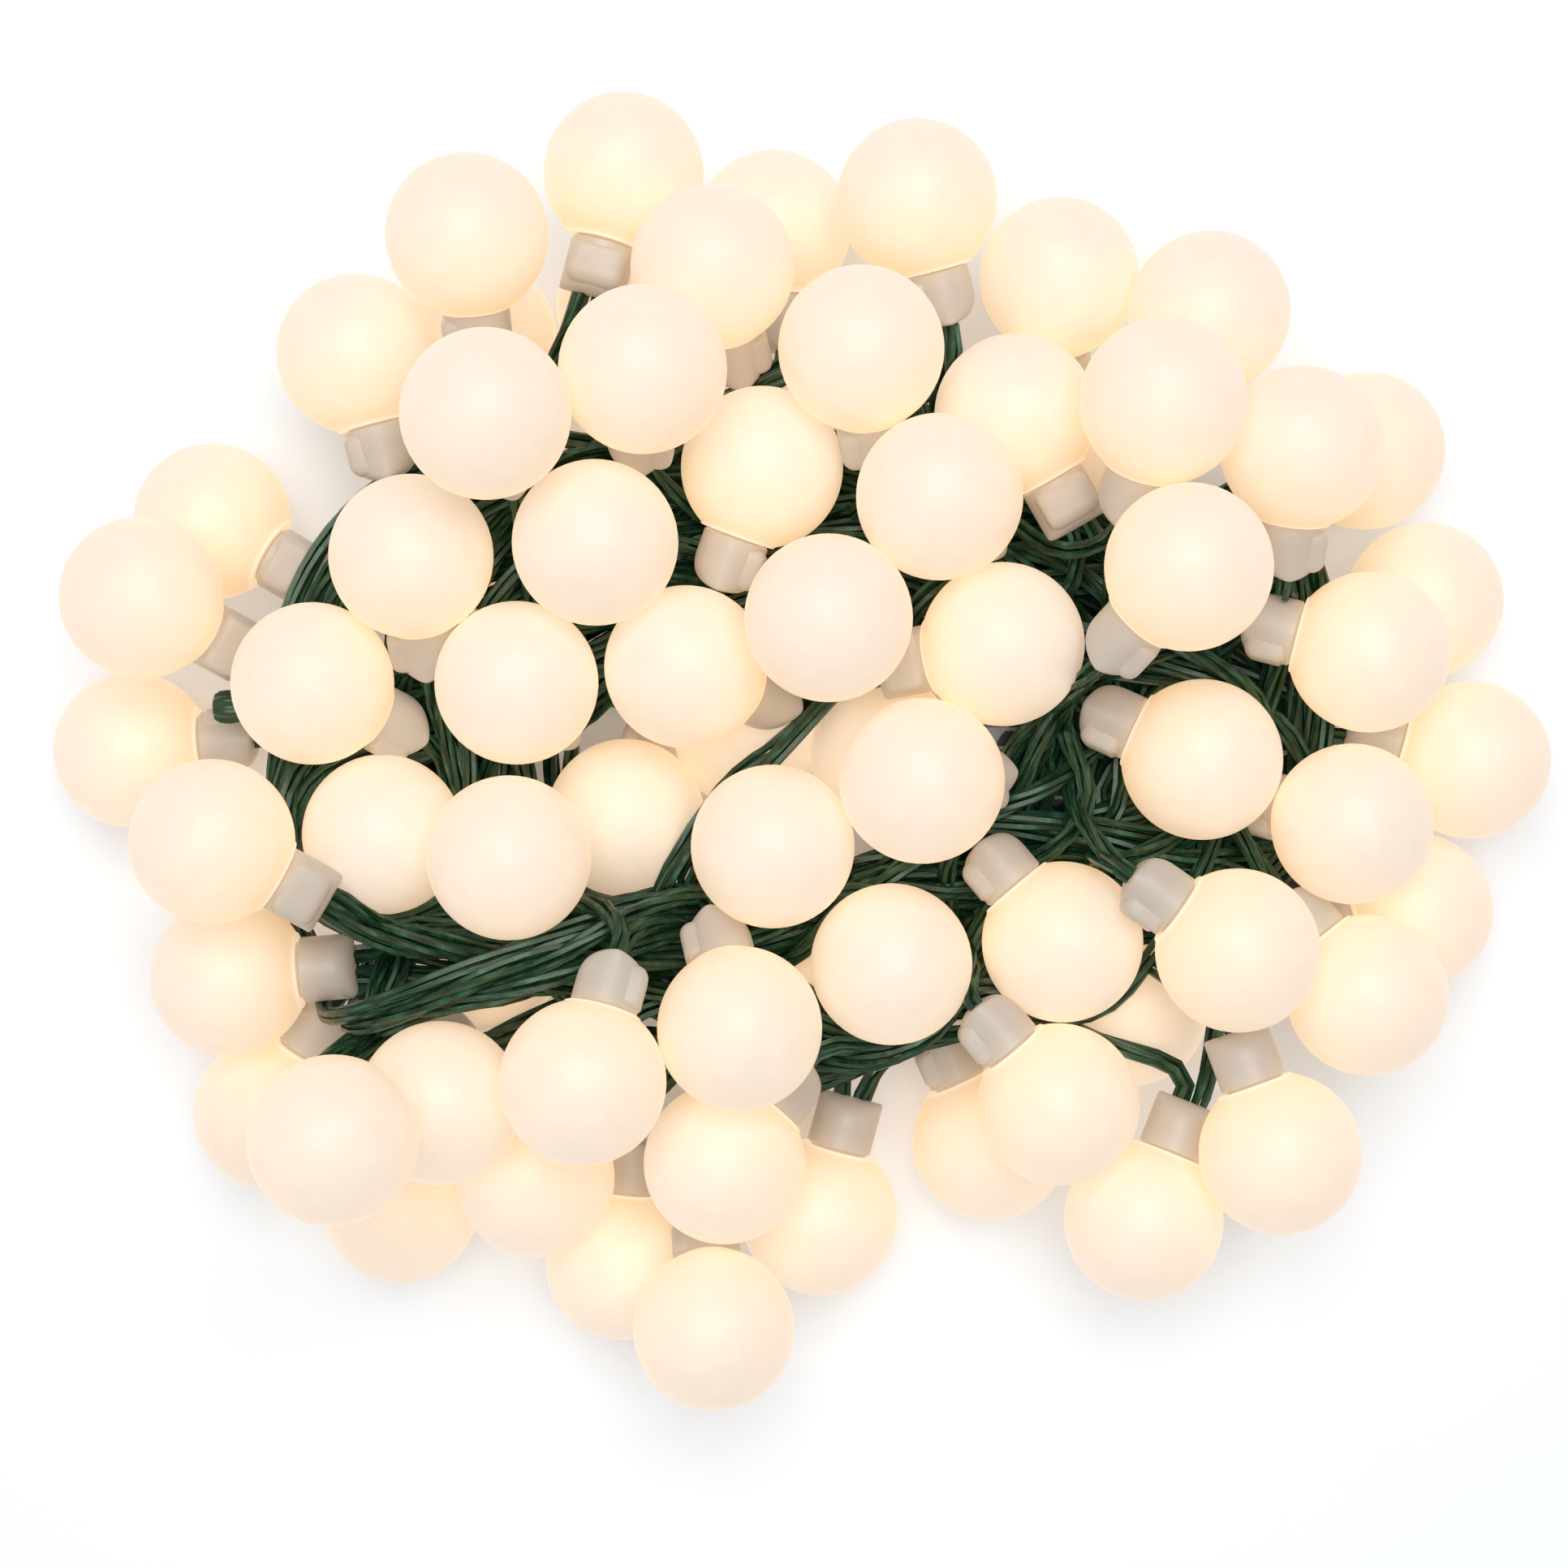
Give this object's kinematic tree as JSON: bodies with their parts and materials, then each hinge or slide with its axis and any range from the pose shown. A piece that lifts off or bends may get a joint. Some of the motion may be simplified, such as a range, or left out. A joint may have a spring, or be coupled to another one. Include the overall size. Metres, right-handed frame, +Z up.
{
  "type": "solar globe string lights",
  "caption": "Lit solar string lights heaped up: frosted globes in milky lampholders on a wound green cable, over a flat solar power unit.",
  "frame": {"origin": "on the surface that the heap lies on, under the middle of its box", "axes": "+X along the heap's longest side, +Z up; seen from above, +Y is the far side"},
  "size_m": [0.2867, 0.2453, 0.0928],
  "materials": {
    "frosted_globe": "satin frosted, glowing warm white",
    "milky_lampholder": "translucent milky beige moulding",
    "clear_led": "clear domed epoxy, lit",
    "green_cable": "glossy dark green PVC, twisted",
    "black_housing": "fine spark-eroded texture",
    "solar_laminate": "clear epoxy over dark blue cells",
    "battery_wrap": "shrink wrap",
    "circuit_board": "solder resist",
    "black_rubber": "matt"
  },
  "bodies": {
    "string": {"light_rim_01": "frosted_globe", "light_rim_02": "frosted_globe", "light_rim_03": "frosted_globe", "light_rim_04": "frosted_globe", "light_rim_05": "frosted_globe", "light_rim_06": "frosted_globe", "light_rim_07": "frosted_globe", "light_rim_08": "frosted_globe", "light_rim_09": "frosted_globe", "light_rim_10": "frosted_globe", "light_rim_11": "frosted_globe", "light_rim_12": "frosted_globe", "light_crown_01": "frosted_globe", "light_crown_02": "frosted_globe", "light_crown_03": "frosted_globe", "light_crown_04": "frosted_globe", "light_crown_05": "frosted_globe", "light_crown_06": "frosted_globe", "light_crown_07": "frosted_globe", "light_crown_08": "frosted_globe", "light_crown_09": "frosted_globe", "light_crown_10": "frosted_globe", "light_crown_11": "frosted_globe", "light_crown_12": "frosted_globe", "light_crown_13": "frosted_globe", "light_crown_14": "frosted_globe", "light_crown_15": "frosted_globe", "light_crown_16": "frosted_globe", "light_crown_17": "frosted_globe", "light_crown_18": "frosted_globe", "light_crown_19": "frosted_globe", "light_crown_20": "frosted_globe", "light_crown_21": "frosted_globe", "light_crown_22": "frosted_globe", "lampholder_north": "milky_lampholder", "led_north": "clear_led", "lampholder_northwest": "milky_lampholder", "led_northwest": "clear_led", "lampholder_west": "milky_lampholder", "led_west": "clear_led", "lampholder_south": "milky_lampholder", "led_south": "clear_led", "lampholder_east": "milky_lampholder", "led_east": "clear_led", "cable_hank": "green_cable", "feed_lead": "green_cable", "end_cap": "green_cable", "rear_cover": "black_housing", "panel_frame": "black_housing", "solar_cell_laminate": "solar_laminate", "battery_cell": "battery_wrap", "charge_board": "circuit_board", "lead_gland": "black_rubber"},
    "globe_north": {"globe_north": "frosted_globe"},
    "globe_northwest": {"globe_northwest": "frosted_globe"},
    "globe_west": {"globe_west": "frosted_globe"},
    "globe_south": {"globe_south": "frosted_globe"},
    "globe_east": {"globe_east": "frosted_globe"},
    "power_button": {"power_button": "black_rubber"},
    "mode_button": {"mode_button": "black_rubber"}
  },
  "joints": [
    {"name": "globe_north_pull_off", "type": "slide", "parent": "string", "child": "globe_north", "axis": [-0.2549, 0.9513, 0.1736], "range_m": [0, 0.014]},
    {"name": "globe_northwest_pull_off", "type": "slide", "parent": "string", "child": "globe_northwest", "axis": [-0.079, 0.9029, 0.4226], "range_m": [0, 0.014]},
    {"name": "globe_west_pull_off", "type": "slide", "parent": "string", "child": "globe_west", "axis": [-0.9962, -0.0872, 0], "range_m": [0, 0.014]},
    {"name": "globe_south_pull_off", "type": "slide", "parent": "string", "child": "globe_south", "axis": [-0.3732, -0.9237, 0.0872], "range_m": [0, 0.014]},
    {"name": "globe_east_pull_off", "type": "slide", "parent": "string", "child": "globe_east", "axis": [0.9623, -0.2578, 0.0872], "range_m": [0, 0.014]},
    {"name": "power_button_press", "type": "slide", "parent": "string", "child": "power_button", "axis": [0, 1, 0], "range_m": [0, 0.001], "stiffness_N_per_m": 900},
    {"name": "mode_button_press", "type": "slide", "parent": "string", "child": "mode_button", "axis": [0, 1, 0], "range_m": [0, 0.001], "stiffness_N_per_m": 900}
  ]
}
